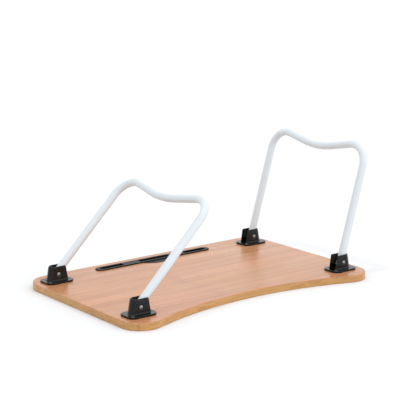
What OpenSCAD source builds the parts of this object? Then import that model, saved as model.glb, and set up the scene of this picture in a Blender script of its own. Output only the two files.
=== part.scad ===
// Folding lap table, lying on its tabletop with both legs in the air.
// X runs along the board, -Y is the side with the belly cut-out, +Y the side with the tablet slot.
// Z is up. Z = 0 is the tabletop face that the table lies on, and the origin is that face's centre.

/* [Board] */
// Length of the board along X
board_w = 600; // [560:5:640]
// Depth of the board along Y
board_d = 400; // [380:5:440]
// Thickness of the board
board_t = 15; // [14:0.5:18]
// Radius in plan of the two corners beside the belly cut-out
front_r = 43; // [38:1:48]
// Radius in plan of the two corners at the back
back_r = 49; // [40:1:60]
// Depth of the belly cut-out at its middle
belly_depth = 47.5; // [40:0.5:50]
// Thickness of the edge band
band_t = 1.5; // [1:0.1:2]

/* [Legs] */
// Distance of each hinge axis from the middle of the board
hinge_x = 255.5; // [254:0.5:260]
// Height of the hinge axes above the board's underside
hinge_h = 17; // [16.5:0.1:17.5]
// Half the distance between a leg's two upright tubes, centre to centre
leg_half = 146; // [140:1:148]
// From a hinge axis to the centreline at the foot bar's high points
leg_len = 244.5; // [220:0.5:245.5]
// Outside diameter of the leg tube
tube_d = 16; // [15:0.1:16]
// Wall thickness of the leg tube
tube_wall = 1.2; // [1:0.1:1.5]
// Centreline radius of the two big bends
bend_r = 41; // [36:1:48]
// Slope of the foot bar down to its middle, in degrees
bar_slope = 11; // [8:0.5:12]
// Centreline radius of the dip in the middle of the foot bar
dip_r = 214; // [150:1:220]
// Lean of the right leg away from the middle, against its stop, in degrees
stop_lean = 17; // [15:0.5:18]
// Lean of the half-folded left leg towards the middle, in degrees
left_lean = 45.5; // [0:0.5:80]

/* [Hinge brackets] */
// Length of the flange from the hinge axis towards the board's end
flange_out = 30; // [29:0.5:32]
// Length of the flange from the hinge axis towards the board's middle
flange_in = 32; // [32:0.5:35]
// Width of the flange
flange_w = 45; // [44:0.5:48]
// Thickness of the flange
flange_t = 4; // [3.5:0.1:4]
// Radius of the flange's corners
flange_r = 13; // [8:0.5:14]
// Height of the tower above the board's underside
tower_h = 33.2; // [32.5:0.1:34]
// Thickness of the two cheeks that hold the tube
cheek_t = 2.4; // [2.2:0.1:3]
// Clearance between the tube and each cheek
cheek_gap = 0.3; // [0.2:0.05:0.5]

/* [Fasteners] */
// Radius of the pivot rivet's shank
rivet_r = 2.5; // [2:0.1:3]
// Radius of the rivet's domed head
rivet_head_r = 4; // [3.8:0.1:4.5]
// Radius of the wood screws' shanks
screw_r = 1.9; // [1.5:0.1:2]
// Radius of the wood screws' heads
screw_head_r = 3.8; // [3.5:0.1:4]
// Length of the wood screws
screw_len = 14; // [12:0.5:16]

/* [Tablet slot] */
// Distance of the slot's centreline behind the middle of the board
slot_y = 166; // [160:0.5:168]
// Length of the insert's flange
slot_flange_l = 294; // [280:1:300]
// Width of the insert's flange
slot_flange_w = 23.5; // [22:0.5:25]
// How far the flange stands above the board's underside
slot_flange_t = 2.4; // [2:0.1:3]
// Width of the groove that the tablet stands in
groove_w = 12.6; // [11:0.1:13]
// Radius of the half-moon finger notch
notch_r = 45; // [42:0.5:46]

/* [Hidden] */
$fn = 96;
eps = 0.01;

// Sides and ends of the board
left = -1;
right = 1;
front = -1;
back = 1;

// Colours
wood = [0.85, 0.72, 0.64];
edging = [0.80, 0.64, 0.40];
black_plastic = [0.13, 0.13, 0.14];
white_coat = [0.92, 0.93, 0.95];
steel = [0.70, 0.70, 0.70];
grey_plastic = [0.35, 0.35, 0.36];

// Board outline: the belly arc meets the two front corner arcs along their tangents, and bites
// just far enough into them to give a clean edge
front_x = board_w / 2 - front_r;
front_y = board_d / 2 - front_r;
back_x = board_w / 2 - back_r;
back_y = board_d / 2 - back_r;
belly_rise = front_r - belly_depth;
belly_r = (front_x * front_x - front_r * front_r + belly_rise * belly_rise)
    / (2 * (front_r - belly_rise));
belly_y = -front_y - belly_rise - belly_r;
belly_bite = 0.05;

// Hinges
axis_z = board_t + hinge_h;
tube_r = tube_d / 2;
bore_gap = 0.06;
tube_tail = 8;
ring_lip = 0.1;
plug_len = 24;

// Bracket tower: half width, and how far it reaches out and in at its foot and at its top
tower_half = tube_r + cheek_gap + cheek_t;
tower_foot_out = 21.5;
tower_foot_in = 22;
tower_top_out = 16;
tower_top_in = 17;
tower_rim = 1.2;
rim_h = 1.5;
flare = 1.6;
flare_h = 2.5;
flare_tuck = 0.3;
channel_r = tube_r + cheek_gap;
tail_sweep_r = 11.7;
recess_r = 5.6;
recess_d = 0.8;
screw_out = 21.5;
screw_in = 25;
screw_y = 14.3;
countersink = 2;
screw_hole_gap = 0.3;

// Rivet: dome over a flat rim, washer and rolled tail
head_h = 1.8;
head_rim = 0.6;
washer_r = 5.2;
tail_r = 3.9;
tail_h = 1.4;
rivet_seat = tower_half - recess_d;

// Slot insert
slot_wall = 2.3;
slot_fit = 0.25;
body_w = groove_w + 2 * slot_wall;
groove_l = slot_flange_l - 20;
body_l = groove_l + 2 * slot_wall;
window_mid = 38;
window_from = 80;
sub_flush = 0.3;
notch_floor = 2.2;
notch_lip = 0.4;
notch_y = slot_y + 13.5;

// Plan shapes ---------------------------------------------------------------

// A bar with round ends
module stadium(length, width) {
    square([length - width, width], center = true);
    for (s = [-1, 1]) translate([s * (length - width) / 2, 0]) circle(width / 2);
}

// A rectangle between two corners, with round corners
module round_rect(low, high, r) {
    translate([low[0] + r, low[1]]) square([high[0] - low[0] - 2 * r, high[1] - low[1]]);
    translate([low[0], low[1] + r]) square([high[0] - low[0], high[1] - low[1] - 2 * r]);
    for (x = [low[0] + r, high[0] - r], y = [low[1] + r, high[1] - r])
        translate([x, y]) circle(r);
}

// The half-moon notch in plan: the part of a disc in front of the slot's centreline
module half_moon(r) {
    intersection() {
        translate([0, notch_y]) circle(r);
        translate([-r, slot_y - r]) square([2 * r, r]);
    }
}

// Puts a part at one of the four brackets: origin on the board's underside below the hinge axis,
// +X towards the board's end
module at_bracket(side, end) {
    translate([side * hinge_x, end * leg_half, board_t])
        rotate([0, 0, side == left ? 180 : 0])
            children();
}

// A cylinder along Y between two heights
module y_rod(r, from, to) {
    translate([0, from, 0]) rotate([-90, 0, 0]) cylinder(r = r, h = to - from);
}

// Places where the four screws of one bracket stand
module at_screws() {
    for (x = [-screw_in, screw_out], y = [-screw_y, screw_y])
        translate([x, y, 0]) children();
}

// Board ---------------------------------------------------------------------

// The board's outline drawn smaller by inset all round, as a solid from z = 0 up to h
module board_slab(inset, h) {
    tangent = [front_x, -front_y - belly_y] * (belly_r + inset) / (belly_r + front_r);
    difference() {
        union() {
            translate([inset - board_w / 2, -front_y, 0])
                cube([board_w - 2 * inset, front_y + back_y, h]);
            translate([-back_x, 0, 0])
                cube([2 * back_x, board_d / 2 - inset, h]);
            for (s = [-1, 1]) {
                translate([s * front_x, -front_y, 0]) cylinder(r = front_r - inset, h = h);
                translate([s * back_x, back_y, 0]) cylinder(r = back_r - inset, h = h);
            }
            linear_extrude(h) polygon([
                [-front_x, -front_y + 1], [front_x, -front_y + 1],
                [tangent[0], belly_y + tangent[1]], [-tangent[0], belly_y + tangent[1]]
            ]);
        }
        translate([0, belly_y, -1])
            cylinder(r = belly_r + inset + belly_bite, h = h + 2, $fn = 720);
    }
}

module board_panel() {
    color(wood)
    difference() {
        board_slab(band_t, board_t);
        translate([0, 0, -1]) linear_extrude(board_t + 2) {
            translate([0, slot_y]) stadium(body_l + 2 * slot_fit, body_w + 2 * slot_fit);
            half_moon(notch_r + slot_fit);
        }
        for (side = [left, right], end = [front, back])
            at_bracket(side, end) at_screws()
                translate([0, 0, flange_t - screw_len]) cylinder(r = screw_r, h = screw_len);
    }
}

module edge_band() {
    color(edging)
    difference() {
        board_slab(0, board_t);
        translate([0, 0, -1]) board_slab(band_t, board_t + 2);
    }
}

module tablet_slot_insert() {
    full_h = board_t + slot_flange_t;
    color(black_plastic)
    difference() {
        union() {
            translate([0, slot_y, sub_flush])
                linear_extrude(board_t - sub_flush + eps) stadium(body_l, body_w);
            translate([0, slot_y, board_t])
                linear_extrude(slot_flange_t) stadium(slot_flange_l, slot_flange_w);
            translate([0, 0, sub_flush])
                linear_extrude(board_t + notch_lip - sub_flush) half_moon(notch_r);
        }
        // groove, closed by the flange except at the windows
        translate([0, slot_y, -1]) linear_extrude(board_t + 1) stadium(groove_l, groove_w);
        translate([0, slot_y, board_t - 1]) linear_extrude(slot_flange_t + 2) {
            square([2 * window_mid, groove_w], center = true);
            for (s = [-1, 1]) intersection() {
                stadium(groove_l, groove_w);
                translate([s * (window_from + groove_l / 2), 0])
                    square([groove_l, groove_w], center = true);
            }
        }
        // finger notch, closed towards the underside
        translate([0, 0, -1])
            linear_extrude(board_t - notch_floor + 1) half_moon(notch_r - slot_wall);
    }
}

// Hinge brackets ------------------------------------------------------------

// One level of the tower, grown by extra all round
module tower_level(z, out, in, extra) {
    reach = tower_half + extra;
    translate([0, 0, z]) linear_extrude(eps) {
        translate([out + extra - reach, 0]) circle(reach, $fn = 48);
        translate([-in - extra, -reach]) square([out + in + 2 * extra - reach, 2 * reach]);
    }
}

// How far the tower reaches at a height, from its foot at the flange to its top
function taper(foot, top, z) = foot + (top - foot) * (z - flange_t) / (tower_h - flange_t);

module tower_level_at(z, extra) {
    tower_level(z, taper(tower_foot_out, tower_top_out, z), taper(tower_foot_in, tower_top_in, z), extra);
}

// Room for the tube from its stop to folded flat, and for its tail below the rivet
module tube_channel() {
    up = tower_h - hinge_h + 5;
    down = hinge_h - flange_t;
    lean = tan(stop_lean);
    translate([0, 0, hinge_h]) {
        intersection() {
            rotate([0, stop_lean, 0]) translate([0, 0, -20]) cylinder(r = channel_r, h = 60);
            translate([-50, -50, -down]) cube(100);
        }
        rotate([90, 0, 0]) linear_extrude(2 * channel_r, center = true)
            polygon([[-lean * down, -down], [lean * up, up], [-50, up], [-50, -down]]);
        y_rod(tail_sweep_r, -channel_r, channel_r);
    }
}

module hinge_bracket(side, end) {
    color(black_plastic)
    at_bracket(side, end) difference() {
        union() {
            linear_extrude(flange_t)
                round_rect([-flange_in, -flange_w / 2], [flange_out, flange_w / 2], flange_r);
            hull() {
                tower_level_at(flange_t - eps, 0);
                tower_level_at(tower_h - rim_h, 0);
                tower_level_at(tower_h - eps, -tower_rim);
            }
            hull() {
                tower_level_at(flange_t - eps, flare);
                tower_level_at(flange_t + flare_h, -flare_tuck);
            }
        }
        tube_channel();
        translate([0, 0, hinge_h]) {
            y_rod(rivet_r + bore_gap, -30, 30);
            y_rod(recess_r, -30, -rivet_seat);
            y_rod(recess_r, rivet_seat, 30);
        }
        at_screws() {
            translate([0, 0, -1]) cylinder(r = screw_r + screw_hole_gap, h = flange_t + 2);
            translate([0, 0, flange_t - countersink])
                cylinder(r1 = screw_r, r2 = 2 * screw_head_r - screw_r, h = 2 * countersink);
        }
    }
}

// Rivets, washers and screws ------------------------------------------------

// A low dome on a flat rim, its foot at z = 0
module dome(r, rim, h) {
    cap = h - rim;
    ball = (r * r + cap * cap) / (2 * cap);
    cylinder(r = r, h = rim);
    intersection() {
        translate([0, 0, h - ball]) sphere(ball);
        translate([0, 0, rim]) cylinder(r = r, h = h);
    }
}

module at_rivet(side, end) {
    translate([side * hinge_x, end * leg_half, axis_z]) children();
}

module pivot_rivet(side, end) {
    color(steel)
    at_rivet(side, end) {
        y_rod(rivet_r, -rivet_seat, tower_half);
        translate([0, -rivet_seat, 0]) rotate([90, 0, 0]) dome(rivet_head_r, head_rim, head_h);
        translate([0, tower_half, 0]) rotate([-90, 0, 0]) dome(tail_r, head_rim, tail_h);
    }
}

module rivet_washer(side, end) {
    color(steel)
    at_rivet(side, end) difference() {
        y_rod(washer_r, rivet_seat, tower_half);
        y_rod(rivet_r + bore_gap, rivet_seat - 1, tower_half + 1);
    }
}

module bracket_screws(side, end) {
    tip = 3;
    slot_l = 4.4;
    slot_w = 0.9;
    slot_d = 1.2;
    color(steel)
    at_bracket(side, end) at_screws() difference() {
        translate([0, 0, flange_t]) {
            translate([0, 0, -countersink])
                cylinder(r1 = screw_r, r2 = screw_head_r, h = countersink);
            translate([0, 0, tip - screw_len]) cylinder(r = screw_r, h = screw_len - tip - countersink);
            translate([0, 0, -screw_len]) cylinder(r1 = 0.3, r2 = screw_r, h = tip);
        }
        for (turn = [0, 90])
            translate([0, 0, flange_t]) rotate([0, 0, turn])
                cube([slot_l, slot_w, 2 * slot_d], center = true);
    }
}

// Legs ----------------------------------------------------------------------

// Turns a leg drawn in the XY plane, Y away from its hinge axis, into place
module at_hinge(side) {
    translate([side * hinge_x, 0, axis_z])
        rotate([0, side == left ? left_lean : stop_lean, 0])
            rotate([90, 0, 90])
                children();
}

module tube_section() {
    difference() {
        circle(tube_r);
        circle(tube_r - tube_wall);
    }
}

// A straight tube from a point, in a direction given in degrees from +X
module straight_tube(from, direction, length) {
    translate(from) rotate([0, 0, direction]) rotate([90, 0, 90])
        linear_extrude(length) tube_section();
}

// A bent tube round a centre, from one direction through a turn
module bent_tube(centre, r, from, turn) {
    translate(centre) rotate([0, 0, from])
        rotate_extrude(angle = turn) translate([r, 0]) tube_section();
}

// A thin ring, hardly wider than the tube, where a bend meets the next length
module joint_ring(at, direction) {
    translate(at) rotate([0, 0, direction]) rotate([90, 0, 90])
        linear_extrude(0.4, center = true) difference() {
            circle(tube_r + ring_lip);
            circle(tube_r - tube_wall - ring_lip);
        }
}

module leg_tube(side) {
    bend_centre = [leg_half - bend_r, leg_len - bend_r, 0];
    bend_end = bend_centre + bend_r * [-sin(bar_slope), cos(bar_slope), 0];
    dip_x = dip_r * sin(bar_slope);
    slope_len = (bend_end[0] - dip_x) / cos(bar_slope);
    dip_y = bend_end[1] - slope_len * sin(bar_slope);
    color(white_coat)
    at_hinge(side) difference() {
        union() {
            for (s = [0, 1]) mirror([s, 0, 0]) {
                straight_tube([leg_half, -tube_tail, 0], 90, bend_centre[1] + tube_tail);
                bent_tube(bend_centre, bend_r, 0, 90 + bar_slope);
                straight_tube(bend_end, 180 + bar_slope, slope_len);
                joint_ring([leg_half, bend_centre[1], 0], 90);
                joint_ring(bend_end, 180 + bar_slope);
                joint_ring([dip_x, dip_y, 0], 180 + bar_slope);
            }
            bent_tube([0, dip_y + dip_r * cos(bar_slope), 0], dip_r,
                270 - bar_slope, 2 * bar_slope);
        }
        for (s = [-1, 1]) translate([s * leg_half, 0, 0])
            rotate([0, 90, 0]) cylinder(r = rivet_r + bore_gap, h = 40, center = true);
    }
}

module tube_plug(side, end) {
    color(grey_plastic)
    at_hinge(side) translate([end * leg_half, 0, 0]) difference() {
        translate([0, -tube_tail, 0]) rotate([-90, 0, 0])
            cylinder(r = tube_r - tube_wall, h = plug_len);
        rotate([0, 90, 0]) cylinder(r = rivet_r + bore_gap, h = 40, center = true);
    }
}

board_panel();
edge_band();
tablet_slot_insert();
hinge_bracket(left, front);  // hinge_bracket_left_front
hinge_bracket(left, back);  // hinge_bracket_left_back
hinge_bracket(right, front);  // hinge_bracket_right_front
hinge_bracket(right, back);  // hinge_bracket_right_back
pivot_rivet(left, front);  // pivot_rivet_left_front
pivot_rivet(left, back);  // pivot_rivet_left_back
pivot_rivet(right, front);  // pivot_rivet_right_front
pivot_rivet(right, back);  // pivot_rivet_right_back
rivet_washer(left, front);  // rivet_washer_left_front
rivet_washer(left, back);  // rivet_washer_left_back
rivet_washer(right, front);  // rivet_washer_right_front
rivet_washer(right, back);  // rivet_washer_right_back
bracket_screws(left, front);  // bracket_screws_left_front
bracket_screws(left, back);  // bracket_screws_left_back
bracket_screws(right, front);  // bracket_screws_right_front
bracket_screws(right, back);  // bracket_screws_right_back
tube_plug(left, front);  // tube_plug_left_front
tube_plug(left, back);  // tube_plug_left_back
tube_plug(right, front);  // tube_plug_right_front
tube_plug(right, back);  // tube_plug_right_back
leg_tube(left);  // leg_tube_left
leg_tube(right);  // leg_tube_right
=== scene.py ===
import math

import bmesh
import bpy
from mathutils import Matrix, Vector


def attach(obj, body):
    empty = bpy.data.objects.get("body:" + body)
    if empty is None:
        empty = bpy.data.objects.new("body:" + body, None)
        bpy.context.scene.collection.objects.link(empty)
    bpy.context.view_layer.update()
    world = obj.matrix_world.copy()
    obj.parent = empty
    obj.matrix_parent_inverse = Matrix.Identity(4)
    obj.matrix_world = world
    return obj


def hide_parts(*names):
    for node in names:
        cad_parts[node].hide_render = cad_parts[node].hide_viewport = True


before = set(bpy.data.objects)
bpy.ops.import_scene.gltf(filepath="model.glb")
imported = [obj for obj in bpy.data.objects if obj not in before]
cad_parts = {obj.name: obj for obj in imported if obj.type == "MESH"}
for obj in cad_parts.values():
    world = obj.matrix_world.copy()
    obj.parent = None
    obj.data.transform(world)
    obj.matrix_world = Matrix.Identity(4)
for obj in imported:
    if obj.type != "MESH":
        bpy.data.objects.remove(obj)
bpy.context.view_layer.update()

MM = 0.001
CORNERS = ("left_front", "left_back", "right_front", "right_back")

# Sizes in millimetres and angles in degrees, all as in the CAD model -------

BOARD_W, BOARD_D, BOARD_T = 600.0, 400.0, 15.0
FRONT_R, BACK_R = 43.0, 49.0
BELLY_DEPTH = 47.5
BAND_T = 1.5
HINGE_X, AXIS_Z, LEG_HALF = 255.5, 32.0, 146.0
TUBE_R, TUBE_WALL, TUBE_TAIL = 8.0, 1.2, 8.0
LEG_LEN, BEND_R, DIP_R = 244.5, 41.0, 214.0
BAR_SLOPE = 11.0
LEFT_LEAN, STOP_LEAN = 45.5, 17.0
PLUG_LEN = 24.0
RIVET_R, BORE_R = 2.5, 2.56
RIVET_SEAT, TOWER_HALF = 9.9, 10.7
FLANGE_TOP = 19.0
SCREW_R, SCREW_HEAD_R, SCREW_LEN = 1.9, 3.8, 14.0
SCREW_IN, SCREW_OUT, SCREW_Y = 25.0, 21.5, 14.3

# Finer details of the pieces made here, in the same units ------------------

EDGE_ROUND, TUBE_LIP = 2.0, 0.25
PLUG_PLAY, PLUG_RIBS = 0.02, 5
RIB_START, RIB_PITCH, RIB_DEPTH = 4.5, 2.2, 0.35
DRILL_LEN = 40.0
RIVET_HEAD_R, RIVET_RIM, RIVET_DOME = 4.0, 0.6, 1.2
DOME_SPREAD = 80
WASHER_R, WASHER_EDGE = 5.2, 0.2
SCREW_NECK_R, SCREW_CORE_R, SCREW_PITCH = 1.5, 1.15, 1.1
SCREW_TIP, THREAD_TOP = 3.0, -3.2
CROSS_R, CROSS_HALF, CROSS_DEPTH = 2.2, 0.45, 1.2
CORNER_SPIN, SCREW_SPIN = 37, 71
FOIL_FADE = (2.1, 1.5)


# Camera --------------------------------------------------------------------

CAM_POS = Vector((-1.5553, -2.0546, 0.7303))
CAM_YAW, CAM_PITCH, CAM_ROLL = (math.radians(a) for a in (37.14, 12.2, -0.45))
FOCAL_PX, FRAME_PX, SENSOR_MM = 1298.4, 400, 36.0


def make_camera():
    forward = Vector((
        math.sin(CAM_YAW) * math.cos(CAM_PITCH),
        math.cos(CAM_YAW) * math.cos(CAM_PITCH),
        -math.sin(CAM_PITCH),
    ))
    level = Vector((math.cos(CAM_YAW), -math.sin(CAM_YAW), 0))
    upright = level.cross(forward)
    right = level * math.cos(CAM_ROLL) + upright * math.sin(CAM_ROLL)
    up = right.cross(forward)
    data = bpy.data.cameras.new("camera")
    data.lens = SENSOR_MM * FOCAL_PX / FRAME_PX
    data.sensor_width = SENSOR_MM
    data.clip_end = 200
    camera = bpy.data.objects.new("camera", data)
    turn = Matrix((right, up, -forward)).transposed().to_4x4()
    camera.matrix_world = Matrix.Translation(CAM_POS) @ turn
    bpy.context.scene.collection.objects.link(camera)
    bpy.context.scene.camera = camera


make_camera()


# Node helpers --------------------------------------------------------------

class Shader:
    """A material under construction: each call adds a node and returns its output."""

    def __init__(self, name):
        self.material = bpy.data.materials.new(name)
        self.material.use_nodes = True
        self.tree = self.material.node_tree
        self.bsdf = self.tree.nodes["Principled BSDF"]

    def add(self, kind, **values):
        node = self.tree.nodes.new(kind)
        for key, value in values.items():
            setattr(node, key, value)
        return node

    def put(self, socket, value):
        if isinstance(value, bpy.types.NodeSocket):
            self.tree.links.new(value, socket)
        else:
            socket.default_value = value

    def coords(self, scale, turn=(0, 0, 0)):
        place = self.add("ShaderNodeTexCoord")
        mapping = self.add("ShaderNodeMapping")
        mapping.inputs["Scale"].default_value = scale
        mapping.inputs["Rotation"].default_value = turn
        self.put(mapping.inputs["Vector"], place.outputs["Object"])
        return mapping.outputs["Vector"]

    def noise(self, vector, scale, detail=2.0, rough=0.5, distortion=0.0):
        node = self.add("ShaderNodeTexNoise")
        self.put(node.inputs["Vector"], vector)
        self.put(node.inputs["Scale"], scale)
        self.put(node.inputs["Detail"], detail)
        self.put(node.inputs["Roughness"], rough)
        self.put(node.inputs["Distortion"], distortion)
        return node.outputs["Fac"]

    def ramp(self, fac, stops):
        node = self.add("ShaderNodeValToRGB")
        self.put(node.inputs["Fac"], fac)
        elements = node.color_ramp.elements
        while len(elements) < len(stops):
            elements.new(0.5)
        for element, (position, colour) in zip(elements, stops):
            element.position = position
            element.color = (*colour, 1) if len(colour) == 3 else colour
        return node.outputs["Color"]

    def mix(self, fac, a, b, blend="MIX"):
        node = self.add("ShaderNodeMix", data_type="RGBA", blend_type=blend)
        self.put(node.inputs["Factor"], fac)
        self.put(node.inputs["A"], a)
        self.put(node.inputs["B"], b)
        return node.outputs["Result"]

    def remap(self, value, low, high, to_low, to_high):
        node = self.add("ShaderNodeMapRange")
        self.put(node.inputs["Value"], value)
        for key, number in (("From Min", low), ("From Max", high), ("To Min", to_low), ("To Max", to_high)):
            node.inputs[key].default_value = number
        return node.outputs["Result"]

    def bump(self, height, strength, distance, under=None):
        node = self.add("ShaderNodeBump")
        node.inputs["Strength"].default_value = strength
        node.inputs["Distance"].default_value = distance
        self.put(node.inputs["Height"], height)
        if under is not None:
            self.put(node.inputs["Normal"], under)
        return node.outputs["Normal"]

    def set(self, **values):
        for key, value in values.items():
            self.put(self.bsdf.inputs[key.replace("_", " ")], value)


def grey(value):
    return (value, value, value)


# Materials -----------------------------------------------------------------

def wood_figure(s, light, dark, streak):
    """Beech print: soft bands, longer streaks, fine pores and short flecks, all along X."""
    wander = s.noise(s.coords((2.2, 9, 9)), 1.0, 2.0)
    bands = s.noise(s.coords((1.1, 26, 26)), 1.0, 3.0, 0.55, 0.6)
    base = s.ramp(bands, [(0.32, dark), (0.5, light), (0.68, dark)])
    lines = s.noise(s.coords((3.0, 150, 150)), 1.0, 3.0, 0.6, 0.35)
    base = s.mix(s.remap(lines, 0.42, 0.70, 0.0, 0.72), base, streak)
    fine = s.noise(s.coords((14, 900, 900)), 1.0, 2.0, 0.55)
    base = s.mix(s.remap(fine, 0.5, 0.78, 0.0, 0.28), base, streak)
    flecks = s.noise(s.coords((210, 2100, 2100)), 1.0, 1.0, 0.4)
    base = s.mix(s.remap(flecks, 0.63, 0.74, 0.0, 0.5), base, tuple(0.62 * c for c in streak[:3]) + (1,))
    tint = s.ramp(wander, [(0.35, (1.0, 0.94, 0.92)), (0.65, (0.97, 1.0, 0.94))])
    base = s.mix(1.0, base, tint, "MULTIPLY")
    return base, fine, lines


LAMINATE_LIGHT = (0.575, 0.274, 0.132, 1)
LAMINATE_DARK = (0.455, 0.20, 0.092, 1)
LAMINATE_STREAK = (0.38, 0.155, 0.062, 1)


def laminate():
    s = Shader("laminate")
    base, fine, lines = wood_figure(s, LAMINATE_LIGHT, LAMINATE_DARK, LAMINATE_STREAK)
    haze = s.noise(s.coords((9, 9, 9)), 1.0, 3.0)
    s.set(Base_Color=base, Roughness=s.remap(haze, 0.3, 0.7, 0.25, 0.33), IOR=1.5)
    pores = s.bump(fine, 0.12, 0.0002)
    s.set(Normal=s.bump(lines, 0.05, 0.0004, pores))
    return s.material


def edging():
    """Golden edging strip, with the face's own print along its upper rim."""
    s = Shader("edge_band")
    base, fine, lines = wood_figure(s, (0.60, 0.33, 0.11, 1), (0.50, 0.26, 0.085, 1), (0.36, 0.17, 0.055, 1))
    streaks = s.noise(s.coords((5, 5, 420)), 1.0, 3.0, 0.6)
    base = s.mix(s.remap(streaks, 0.5, 0.8, 0.0, 0.45), base, (0.33, 0.155, 0.05, 1))
    print_tone = wood_figure(s, LAMINATE_LIGHT, LAMINATE_DARK, LAMINATE_STREAK)[0]
    height = s.add("ShaderNodeSeparateXYZ")
    s.put(height.inputs[0], s.coords((1, 1, 1)))
    fade = [(BOARD_T - depth) * MM for depth in FOIL_FADE]
    base = s.mix(s.remap(height.outputs["Z"], *fade, 0.0, 1.0), base, print_tone)
    s.set(Base_Color=base, Roughness=s.remap(streaks, 0.3, 0.7, 0.30, 0.40), IOR=1.5)
    s.set(Normal=s.bump(streaks, 0.15, 0.0003, s.bump(fine, 0.08, 0.0002)))
    return s.material


def black_plastic(name, rough, gloss, texture):
    s = Shader(name)
    flow = s.noise(s.coords((28, 28, 60)), 1.0, 3.0, 0.5, 0.4)
    grain = s.noise(s.coords((1, 1, 1)), 2600, 2.0, 0.5)
    dust = s.noise(s.coords((1, 1, 1)), 900, 1.0, 0.5)
    base = s.ramp(flow, [(0.35, grey(0.004)), (0.65, (0.008, 0.007, 0.007))])
    base = s.mix(s.remap(dust, 0.70, 0.80, 0.0, 0.10), base, (0.16, 0.15, 0.14, 1))
    s.set(Base_Color=base, Roughness=s.remap(flow, 0.3, 0.7, rough, rough + 0.07), IOR=1.49)
    s.set(Specular_IOR_Level=gloss)
    s.set(Normal=s.bump(grain, texture, 0.00012))
    return s.material


def white_coat():
    s = Shader("white_coat")
    cloud = s.noise(s.coords((11, 11, 11)), 1.0, 2.0)
    peel = s.noise(s.coords((1, 1, 1)), 420, 2.0, 0.5)
    speck = s.noise(s.coords((1, 1, 1)), 1500, 1.0, 0.4)
    base = s.ramp(cloud, [(0.3, (0.65, 0.69, 0.72)), (0.7, (0.68, 0.72, 0.75))])
    base = s.mix(s.remap(speck, 0.74, 0.82, 0.0, 0.18), base, (0.55, 0.56, 0.57, 1))
    s.set(Base_Color=base, Roughness=s.remap(cloud, 0.3, 0.7, 0.30, 0.38), IOR=1.5)
    s.set(Normal=s.bump(peel, 0.10, 0.0003))
    return s.material


def plated(name, light, dark, rough):
    s = Shader(name)
    mottle = s.noise(s.coords((1, 1, 1)), 650, 3.0, 0.6, 0.5)
    scratch = s.noise(s.coords((300, 4200, 4200)), 1.0, 2.0, 0.6)
    base = s.ramp(mottle, [(0.35, grey(dark)), (0.65, grey(light))])
    s.set(Base_Color=base, Metallic=1.0, Roughness=s.remap(mottle, 0.3, 0.7, rough, rough + 0.14))
    s.set(Normal=s.bump(scratch, 0.15, 0.00005, s.bump(mottle, 0.12, 0.0001)))
    return s.material


def grey_plastic():
    s = Shader("grey_plastic")
    flow = s.noise(s.coords((60, 60, 60)), 1.0, 2.0)
    grain = s.noise(s.coords((1, 1, 1)), 2400, 2.0)
    s.set(Base_Color=s.ramp(flow, [(0.3, grey(0.045)), (0.7, grey(0.075))]))
    s.set(Roughness=s.remap(flow, 0.3, 0.7, 0.42, 0.52), Normal=s.bump(grain, 0.15, 0.0001))
    return s.material


MATERIALS = {
    "laminate": laminate(),
    "edge_band": edging(),
    "black_plastic": black_plastic("black_plastic", 0.14, 0.28, 0.12),
    "slot_plastic": black_plastic("slot_plastic", 0.34, 0.12, 1.0),
    "white_coat": white_coat(),
    "rivet_metal": plated("rivet_metal", 0.36, 0.24, 0.36),
    "screw_metal": plated("screw_metal", 0.30, 0.20, 0.40),
    "grey_plastic": grey_plastic(),
}


# Mesh helpers --------------------------------------------------------------

def to_mesh(name, verts, faces):
    """A mesh from points in millimetres, its faces turned outwards."""
    mesh = bpy.data.meshes.new(name)
    mesh.from_pydata([Vector(v) * MM for v in verts], [], faces)
    bm = bmesh.new()
    bm.from_mesh(mesh)
    bmesh.ops.recalc_face_normals(bm, faces=bm.faces)
    bm.to_mesh(mesh)
    bm.free()
    return mesh


def smooth(mesh, angle=35):
    mesh.shade_smooth()
    mesh.set_sharp_from_angle(angle=math.radians(angle))


def piece(name, mesh, body, slot, *nodes, angle=35, finish=None):
    smooth(mesh, angle)
    mesh.materials.clear()
    mesh.materials.append(MATERIALS[finish or slot])
    obj = bpy.data.objects.new(name, mesh)
    bpy.context.scene.collection.objects.link(obj)
    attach(obj, body)
    if nodes:
        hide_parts(*nodes)


def skin(loops, closed=False):
    """Quads between successive loops of equal length; closed joins the last loop to the first."""
    count, verts, faces = len(loops[0]), [], []
    for loop in loops:
        verts += loop
    pairs = len(loops) if closed else len(loops) - 1
    for i in range(pairs):
        a, b = i * count, (i + 1) % len(loops) * count
        for k in range(count):
            n = (k + 1) % count
            faces.append((a + k, a + n, b + n, b + k))
    return verts, faces


def capped(name, near, far):
    """A closed solid between two outlines of equal length."""
    verts, faces = skin([near, far])
    count = len(near)
    faces += [tuple(range(count)), tuple(range(count, 2 * count))]
    return to_mesh(name, verts, faces)


def circle(radius, z, steps):
    turns = [2 * math.pi * k / steps for k in range(steps)]
    return [(radius * math.cos(a), radius * math.sin(a), z) for a in turns]


def lathe(profile, steps):
    """A solid turned round Z from (radius, height) pairs that start and end on the axis."""
    loops = [circle(radius, z, steps) for radius, z in profile[1:-1]]
    verts, faces = skin(loops)
    for end, first in ((profile[0], 0), (profile[-1], (len(loops) - 1) * steps)):
        tip = len(verts)
        verts.append((0, 0, end[1]))
        faces += [(tip, first + k, first + (k + 1) % steps) for k in range(steps)]
    return verts, faces


def arc(centre, radius, start, end, steps):
    """Points in the plane from one angle to another, in degrees."""
    return [
        (centre[0] + radius * math.cos(math.radians(start + (end - start) * i / steps)),
         centre[1] + radius * math.sin(math.radians(start + (end - start) * i / steps)))
        for i in range(steps + 1)
    ]


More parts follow.
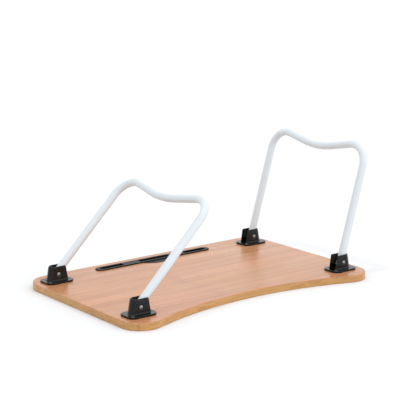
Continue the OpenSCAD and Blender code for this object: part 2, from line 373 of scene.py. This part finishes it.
def modified(mesh, *modifiers):
    """The mesh after modifiers, each (kind, {property: value})."""
    obj = bpy.data.objects.new("working", mesh)
    bpy.context.scene.collection.objects.link(obj)
    for kind, values in modifiers:
        modifier = obj.modifiers.new(kind, kind)
        for key, value in values.items():
            setattr(modifier, key, value)
    graph = bpy.context.evaluated_depsgraph_get()
    result = bpy.data.meshes.new_from_object(obj.evaluated_get(graph))
    bpy.data.objects.remove(obj)
    return result


def cut(mesh, cutter, places):
    """The mesh with the cutter taken out of it at each place."""
    objects = []
    for place in places:
        obj = bpy.data.objects.new("cutter", cutter)
        obj.matrix_world = Matrix.Translation(Vector(place) * MM)
        bpy.context.scene.collection.objects.link(obj)
        objects.append(obj)
    bpy.context.view_layer.update()
    steps = [("BOOLEAN", {"object": o, "operation": "DIFFERENCE", "solver": "EXACT"}) for o in objects]
    result = modified(mesh, *steps)
    for obj in objects:
        bpy.data.objects.remove(obj)
    return result


def bored(mesh, places):
    """The mesh with a rivet's bore along X at each place."""
    ends = []
    for y in (-DRILL_LEN / 2, DRILL_LEN / 2):
        ends.append([(x, y, z) for x, z, y in circle(BORE_R, y, 40)])
    drill = capped("drill", *ends)
    drill.transform(Matrix.Rotation(math.radians(90), 4, "Z"))
    return cut(mesh, drill, places)


def placed(mesh, matrix):
    copy = mesh.copy()
    copy.transform(matrix)
    return copy


def joined(meshes):
    bm = bmesh.new()
    for mesh in meshes:
        bm.from_mesh(mesh)
    result = bpy.data.meshes.new("joined")
    bm.to_mesh(result)
    bm.free()
    return result


# Board ---------------------------------------------------------------------

def board_outline(inset, z):
    """The board's edge at height z, drawn in by inset: four corners and the belly cut-out."""
    x, y = BOARD_W / 2 - FRONT_R, BOARD_D / 2 - FRONT_R
    back_x, back_y = BOARD_W / 2 - BACK_R, BOARD_D / 2 - BACK_R
    # The belly's arc touches the arcs of both front corners and reaches BELLY_DEPTH into the board.
    rise = FRONT_R - BELLY_DEPTH
    belly_r = (x * x - FRONT_R ** 2 + rise ** 2) / (2 * (FRONT_R - rise))
    belly_y = -y - rise - belly_r
    tangent = math.degrees(math.atan2(belly_y + y, -x)) % 360
    mirrored = 540 - tangent
    points = arc((back_x, back_y), BACK_R - inset, 0, 90, 20)
    points += arc((-back_x, back_y), BACK_R - inset, 90, 180, 20)
    points += arc((-x, -y), FRONT_R - inset, 180, mirrored, 26)
    points += arc((0, belly_y), belly_r + inset, mirrored - 180, tangent - 180, 64)[1:-1]
    points += arc((x, -y), FRONT_R - inset, tangent, 360, 26)
    return [(px, py, z) for px, py in points]


def build_board():
    """The panel keeps its CAD node; the edge band is a strip with both rims rounded."""
    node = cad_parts["board_panel"]
    node.data.materials.clear()
    node.data.materials.append(MATERIALS["laminate"])
    steps = 6
    rings = []
    for k in range(steps + 1):
        a = math.pi / 2 * k / steps
        rings.append((BAND_T * (1 - math.sin(a)), EDGE_ROUND * (1 - math.cos(a))))
    rings += [(inset, BOARD_T - z) for inset, z in reversed(rings)]
    verts, faces = skin([board_outline(inset, z) for inset, z in rings], closed=True)
    piece("edge_band_strip", to_mesh("edge_band_strip", verts, faces), "board", "edge_band", "edge_band")


build_board()


# Moulded pieces ------------------------------------------------------------

def moulded(node, voxel, rounds, keep):
    """A CAD node's solid with its edges softened as a mould leaves them."""
    source = bpy.data.meshes.new_from_object(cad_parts[node])
    return modified(
        source,
        ("WELD", {"merge_threshold": 2e-6}),
        ("REMESH", {"mode": "VOXEL", "voxel_size": voxel * MM}),
        ("SMOOTH", {"factor": 0.5, "iterations": rounds}),
        ("DECIMATE", {"ratio": keep}),
    )


def build_mouldings():
    node = "tablet_slot_insert"
    mesh = moulded(node, voxel=0.45, rounds=4, keep=0.25)
    piece("slot_insert", mesh, "board", "black_plastic", node, angle=60, finish="slot_plastic")
    for corner in CORNERS:
        node = f"hinge_bracket_{corner}"
        mesh = moulded(node, voxel=0.4, rounds=12, keep=0.25)
        piece(f"bracket_{corner}", mesh, "board", "black_plastic", node, angle=60)


build_mouldings()


# Rivets, washers and screws ------------------------------------------------

def rivet_profile():
    """A domed head at the bottom, the shank, and a rolled tail with its hollow end."""
    rim = -RIVET_SEAT - RIVET_RIM
    spread = math.radians(DOME_SPREAD)
    base = math.cos(spread)
    head = [(0, rim - RIVET_DOME)]
    for k in range(1, 9):
        a = spread * k / 8
        radius = RIVET_HEAD_R * math.sin(a) / math.sin(spread)
        head.append((radius, rim - RIVET_DOME * (math.cos(a) - base) / (1 - base)))
    head += [(RIVET_HEAD_R, rim + 0.3), (RIVET_HEAD_R - 0.15, -RIVET_SEAT), (RIVET_R, -RIVET_SEAT)]
    tail = [(RIVET_R, TOWER_HALF), (3.7, TOWER_HALF), (3.9, TOWER_HALF + 0.3), (3.75, TOWER_HALF + 0.8),
            (3.1, TOWER_HALF + 1.25), (2.3, TOWER_HALF + 1.4), (1.6, TOWER_HALF + 1.15),
            (1.35, TOWER_HALF + 0.5), (1.2, TOWER_HALF - 1.2), (0, TOWER_HALF - 1.6)]
    return head + tail


def make_washer():
    face = WASHER_R - WASHER_EDGE
    rims = [(BORE_R, RIVET_SEAT), (face, RIVET_SEAT), (WASHER_R, RIVET_SEAT + 0.75 * WASHER_EDGE)]
    rims += [(WASHER_R, TOWER_HALF - WASHER_EDGE), (face, TOWER_HALF), (BORE_R, TOWER_HALF)]
    return to_mesh("washer", *skin([circle(radius, z, 48) for radius, z in rims], closed=True))


def build_fasteners():
    turn = Matrix.Rotation(math.radians(-90), 4, "X")
    rivet = placed(to_mesh("rivet", *lathe(rivet_profile(), 48)), turn)
    washer = placed(make_washer(), turn)
    screw = make_screw()
    for number, corner in enumerate(CORNERS):
        side = -1 if corner.startswith("left") else 1
        end = -1 if corner.endswith("front") else 1
        pivot = Matrix.Translation(Vector((side * HINGE_X, end * LEG_HALF, AXIS_Z)) * MM)
        piece(f"rivet_{corner}", placed(rivet, pivot), "board", "rivet_metal", f"pivot_rivet_{corner}")
        piece(f"washer_{corner}", placed(washer, pivot), "board", "rivet_metal", f"rivet_washer_{corner}")
        screws = []
        for k, (x, y) in enumerate((x, y) for x in (-SCREW_IN, SCREW_OUT) for y in (-SCREW_Y, SCREW_Y)):
            place = Vector((side * (HINGE_X + x), end * LEG_HALF + side * y, FLANGE_TOP)) * MM
            spin = Matrix.Rotation(math.radians(CORNER_SPIN * number + SCREW_SPIN * k), 4, "Z")
            screws.append(placed(screw, Matrix.Translation(place) @ spin))
        piece(f"screws_{corner}", joined(screws), "board", "screw_metal", f"bracket_screws_{corner}")


def make_cross():
    """A cutter for the cross recess of a screw, half of it on each side of z = 0."""
    arm = ((CROSS_R, -CROSS_HALF), (CROSS_R, CROSS_HALF), (CROSS_HALF, CROSS_HALF))
    outline = []
    for quarter in range(4):
        turn = Matrix.Rotation(math.radians(90 * quarter), 2)
        outline += [turn @ Vector(point) for point in arm]
    near, far = ([(x, y, z) for x, y in outline] for z in (-CROSS_DEPTH, CROSS_DEPTH))
    return capped("cross", near, far)


def make_screw():
    """A countersunk wood screw with a cross recess, its head's face at z = 0."""
    profile = [(0, -SCREW_LEN), (0.35, -SCREW_LEN + 0.2)]
    z = -SCREW_LEN + 0.9
    while z < THREAD_TOP:
        along = z + SCREW_LEN
        full = along > SCREW_TIP
        core = SCREW_CORE_R if full else 0.5 + 0.2 * along
        crest = SCREW_R if full else 0.9 + 0.3 * along
        profile += [(core, z), (core, z + 0.45), (crest, z + 0.7)]
        z += SCREW_PITCH
    profile += [(SCREW_NECK_R, z + 0.1), (SCREW_NECK_R, -2.3), (SCREW_R, -2.0)]
    profile += [(SCREW_HEAD_R - 0.12, -0.28), (SCREW_HEAD_R, -0.12)]
    profile += [(SCREW_HEAD_R - 0.1, -0.02), (SCREW_HEAD_R - 0.25, 0), (0, 0)]
    screw = to_mesh("screw", *lathe(profile, 32))
    return cut(screw, make_cross(), [(0, 0, 0)])


build_fasteners()


# Legs ----------------------------------------------------------------------

def leg_path():
    """Centreline points (across the leg, along it) and directions, from one hinge to the other."""
    bend = (LEG_HALF - BEND_R, LEG_LEN - BEND_R)
    slope = math.radians(BAR_SLOPE)
    end = (bend[0] - BEND_R * math.sin(slope), bend[1] + BEND_R * math.cos(slope))
    dip_x = DIP_R * math.sin(slope)
    slope_len = (end[0] - dip_x) / math.cos(slope)
    dip = (0.0, end[1] - slope_len * math.sin(slope) + DIP_R * math.cos(slope))
    half = []
    for k in range(13):
        half.append(((LEG_HALF, -TUBE_TAIL + (bend[1] + TUBE_TAIL) * k / 12), (0.0, 1.0)))
    for k in range(1, 27):
        a = math.radians((90 + BAR_SLOPE) * k / 26)
        point = (bend[0] + BEND_R * math.cos(a), bend[1] + BEND_R * math.sin(a))
        half.append((point, (-math.sin(a), math.cos(a))))
    down = (-math.cos(slope), -math.sin(slope))
    for k in range(1, 4):
        t = slope_len * k / 4
        half.append(((end[0] + t * down[0], end[1] + t * down[1]), down))
    for k in range(9):
        a = slope * (1 - k / 8)
        half.append(((DIP_R * math.sin(a), dip[1] - DIP_R * math.cos(a)), (-math.cos(a), -math.sin(a))))
    other = [((-p[0], p[1]), (t[0], -t[1])) for p, t in reversed(half[:-1])]
    return half + other


def ring(point, direction, radius, steps, push=0.0):
    """A circle round the path: the leg's plane is X across, Y along, with Z out of it."""
    across = (direction[1], -direction[0])
    centre = (point[0] + push * direction[0], point[1] + push * direction[1])
    out = []
    for k in range(steps):
        a = 2 * math.pi * k / steps
        out.append((centre[0] + radius * math.cos(a) * across[0],
                    centre[1] + radius * math.cos(a) * across[1], radius * math.sin(a)))
    return out


def make_tube():
    """The bent tube with its wall, its two cut ends slightly rounded."""
    steps = 36
    path = leg_path()
    rounding = [(TUBE_LIP, 0.0), (0.3 * TUBE_LIP, 0.3 * TUBE_LIP), (0.0, TUBE_LIP)]
    loops = [ring(*path[0], TUBE_R - less, steps, push) for less, push in rounding]
    loops += [ring(*p, TUBE_R, steps) for p in path[1:-1]]
    loops += [ring(*path[-1], TUBE_R - less, steps, -push) for less, push in reversed(rounding)]
    loops += [ring(*p, TUBE_R - TUBE_WALL, steps) for p in reversed(path)]
    tube = to_mesh("tube", *skin(loops, closed=True))
    return bored(tube, [(LEG_HALF, 0, 0), (-LEG_HALF, 0, 0)])


def make_plug():
    """A moulded plug that closes the tube's end, along Y, with a ribbed barrel."""
    inner = TUBE_R - TUBE_WALL
    barrel, groove = inner - PLUG_PLAY, inner - RIB_DEPTH
    mouth, end = -TUBE_TAIL, PLUG_LEN - TUBE_TAIL
    profile = [(0, mouth + 0.5), (2.6, mouth + 0.5), (3.2, mouth + 0.1), (5.6, mouth)]
    profile += [(inner - 0.4, mouth + 0.1), (barrel, mouth + 0.5)]
    for k in range(PLUG_RIBS):
        y = RIB_START + RIB_PITCH * k
        profile += [(barrel, y), (groove, y + 0.3), (groove, y + 0.9), (barrel, y + 1.2)]
    profile += [(barrel, end - 0.8), (inner - 0.8, end), (0, end)]
    plug = to_mesh("plug", *lathe(profile, 36))
    plug.transform(Matrix.Rotation(math.radians(-90), 4, "X"))
    return bored(plug, [(0, 0, 0)])


def build_legs():
    """Each leg is drawn flat, stood up so that its X lies along the table's Y, and leant."""
    tube, plug = make_tube(), make_plug()
    upright = Matrix(((0, 0, 1, 0), (1, 0, 0, 0), (0, 1, 0, 0), (0, 0, 0, 1)))
    for name, side, lean in (("left", -1, LEFT_LEAN), ("right", 1, STOP_LEAN)):
        hinge = Matrix.Translation(Vector((side * HINGE_X, 0, AXIS_Z)) * MM)
        place = hinge @ Matrix.Rotation(math.radians(lean), 4, "Y") @ upright
        body = f"{name}_leg"
        piece(f"{name}_leg_tube", placed(tube, place), body, "white_coat", f"leg_tube_{name}")
        for end, offset in (("front", -LEG_HALF), ("back", LEG_HALF)):
            mesh = placed(plug, place @ Matrix.Translation(Vector((offset, 0, 0)) * MM))
            piece(f"{name}_leg_plug_{end}", mesh, body, "grey_plastic", f"tube_plug_{name}_{end}")


build_legs()


# Studio --------------------------------------------------------------------

BRIGHT_SIDE = Vector((1.0, -0.25, 0.1))
DIM_LEVEL, BRIGHT_LEVEL = 0.84, 1.38
FLOOR_LOW, FLOOR_HIGH = 0.77, 0.79


def sun_light(name, towards, spread, strength):
    """Light from one direction, its spread in degrees."""
    data = bpy.data.lights.new(name, "SUN")
    data.angle = math.radians(spread)
    data.energy = strength
    light = bpy.data.objects.new(name, data)
    light.rotation_euler = Vector(towards).to_track_quat("Z", "Y").to_euler()
    bpy.context.scene.collection.objects.link(light)


def make_world():
    """Soft light all round, brightest from the right and dimmest from the left."""
    world = bpy.data.worlds.new("studio")
    world.use_nodes = True
    tree = world.node_tree
    place = tree.nodes.new("ShaderNodeTexCoord")
    facing = tree.nodes.new("ShaderNodeVectorMath")
    facing.operation = "DOT_PRODUCT"
    facing.inputs[1].default_value = BRIGHT_SIDE.normalized()
    level = tree.nodes.new("ShaderNodeMapRange")
    limits = {"From Min": -1.0, "From Max": 1.0, "To Min": DIM_LEVEL, "To Max": BRIGHT_LEVEL}
    for key, number in limits.items():
        level.inputs[key].default_value = number
    tree.links.new(place.outputs["Generated"], facing.inputs[0])
    tree.links.new(facing.outputs["Value"], level.inputs["Value"])
    tree.links.new(level.outputs["Result"], tree.nodes["Background"].inputs["Strength"])
    tree.nodes["Background"].inputs["Color"].default_value = (0.97, 0.985, 1.0, 1)
    return world


def build_studio():
    scene = bpy.context.scene
    scene.world = make_world()
    scene.view_settings.view_transform = "Standard"
    bpy.ops.mesh.primitive_plane_add(size=60)
    floor = bpy.context.object
    floor.name = "floor"
    s = Shader("floor_paper")
    tone = s.noise(s.coords((1, 1, 1)), 40, 2.0)
    s.set(Base_Color=s.ramp(tone, [(0.3, grey(FLOOR_LOW)), (0.7, grey(FLOOR_HIGH))]))
    s.set(Roughness=0.9, Specular_IOR_Level=0.0)
    floor.data.materials.append(s.material)
    sun_light("overhead", (-0.20, 0.05, 1.0), 10, 0.5)
    sun_light("front", (0.25, -1.0, 0.55), 40, 0.40)


build_studio()
